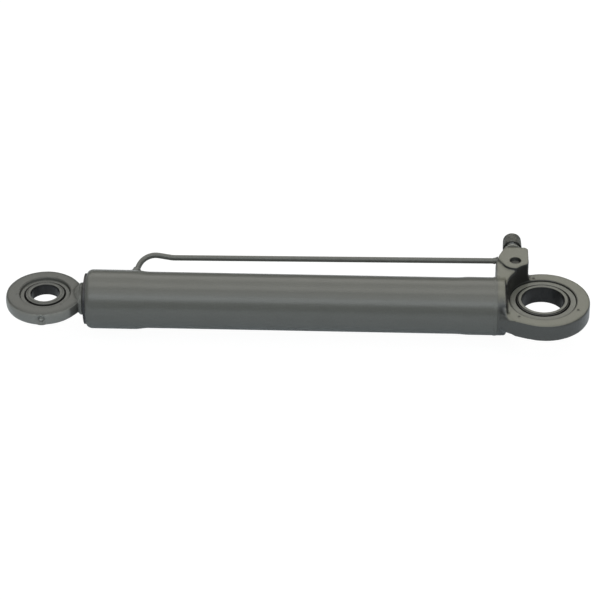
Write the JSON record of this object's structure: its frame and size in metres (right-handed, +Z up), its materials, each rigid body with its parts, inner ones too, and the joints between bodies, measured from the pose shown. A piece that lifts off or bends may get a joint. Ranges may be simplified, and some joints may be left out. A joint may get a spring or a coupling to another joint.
{
  "type": "double-acting hydraulic cylinder",
  "caption": "Double-acting hydraulic cylinder with a spherical bearing eye at each end, a port lug and a rigid transfer pipe.",
  "frame": {"origin": "centre of the base eye's bearing bore, on the cylinder's axis", "axes": "+X along the cylinder from the base eye to the rod eye, +Z up along both eye bores, -Y towards the port lug and transfer pipe"},
  "size_m": [0.6198, 0.1392, 0.0656],
  "materials": {
    "paint": "satin grey-green paint over a cast or turned surface",
    "bearing_paint": "thin satin overspray on a ground bearing ring",
    "dark_steel": "blackened turned steel",
    "bright_steel": "zinc plated steel",
    "hard_chrome": "ground and polished hard chrome",
    "seal_black": "black nitrile or polyurethane",
    "seal_tan": "phenolic or filled PTFE"
  },
  "bodies": {
    "barrel": {"barrel_tube": "paint", "base_forging": "paint", "base_weld": "paint", "transfer_pipe": "paint", "pipe_foot_weld": "paint", "pipe_lug_weld": "paint", "gland": "dark_steel", "gland_oring": "seal_black", "gland_backup_ring": "seal_tan", "rod_guide_ring": "seal_tan", "rod_seal": "seal_black", "rod_wiper": "seal_black", "base_bearing_race": "bearing_paint", "port_stud": "bright_steel", "stud_seal": "bright_steel", "port_plug": "dark_steel"},
    "piston_rings": {"piston_seal": "seal_black", "piston_wear_rings": "seal_tan"},
    "rod_assembly": {"rod": "hard_chrome", "rod_eye": "paint", "rod_eye_weld": "paint", "piston": "dark_steel", "piston_nut": "bright_steel", "piston_oring": "seal_black", "rod_bearing_race": "bearing_paint", "grease_nipple": "bright_steel"},
    "base_ball": {"base_bearing_ball": "bearing_paint"},
    "rod_ball": {"rod_bearing_ball": "bearing_paint"},
    "cap": {"port_cap": "paint"}
  },
  "joints": [
    {"name": "rod_slide", "type": "slide", "parent": "barrel", "child": "piston_rings", "axis": [1, 0, 0], "range_m": [0, 0.33]},
    {"name": "rod_spin", "type": "hinge", "parent": "piston_rings", "child": "rod_assembly", "pos_m": [0.528, 0, 0], "axis": [1, 0, 0], "continuous": true},
    {"name": "base_ring_tilt", "type": "hinge", "parent": "barrel", "child": "base_ball", "pos_m": [0, 0, 0], "axis": [0, 1, 0], "range_deg": [-6, 6]},
    {"name": "rod_ring_tilt", "type": "hinge", "parent": "rod_assembly", "child": "rod_ball", "pos_m": [0.528, 0, 0], "axis": [0, 1, 0], "range_deg": [-6, 6]},
    {"name": "cap_pull", "type": "slide", "parent": "barrel", "child": "cap", "axis": [0, -1, 0], "range_m": [0, 0.025]}
  ]
}
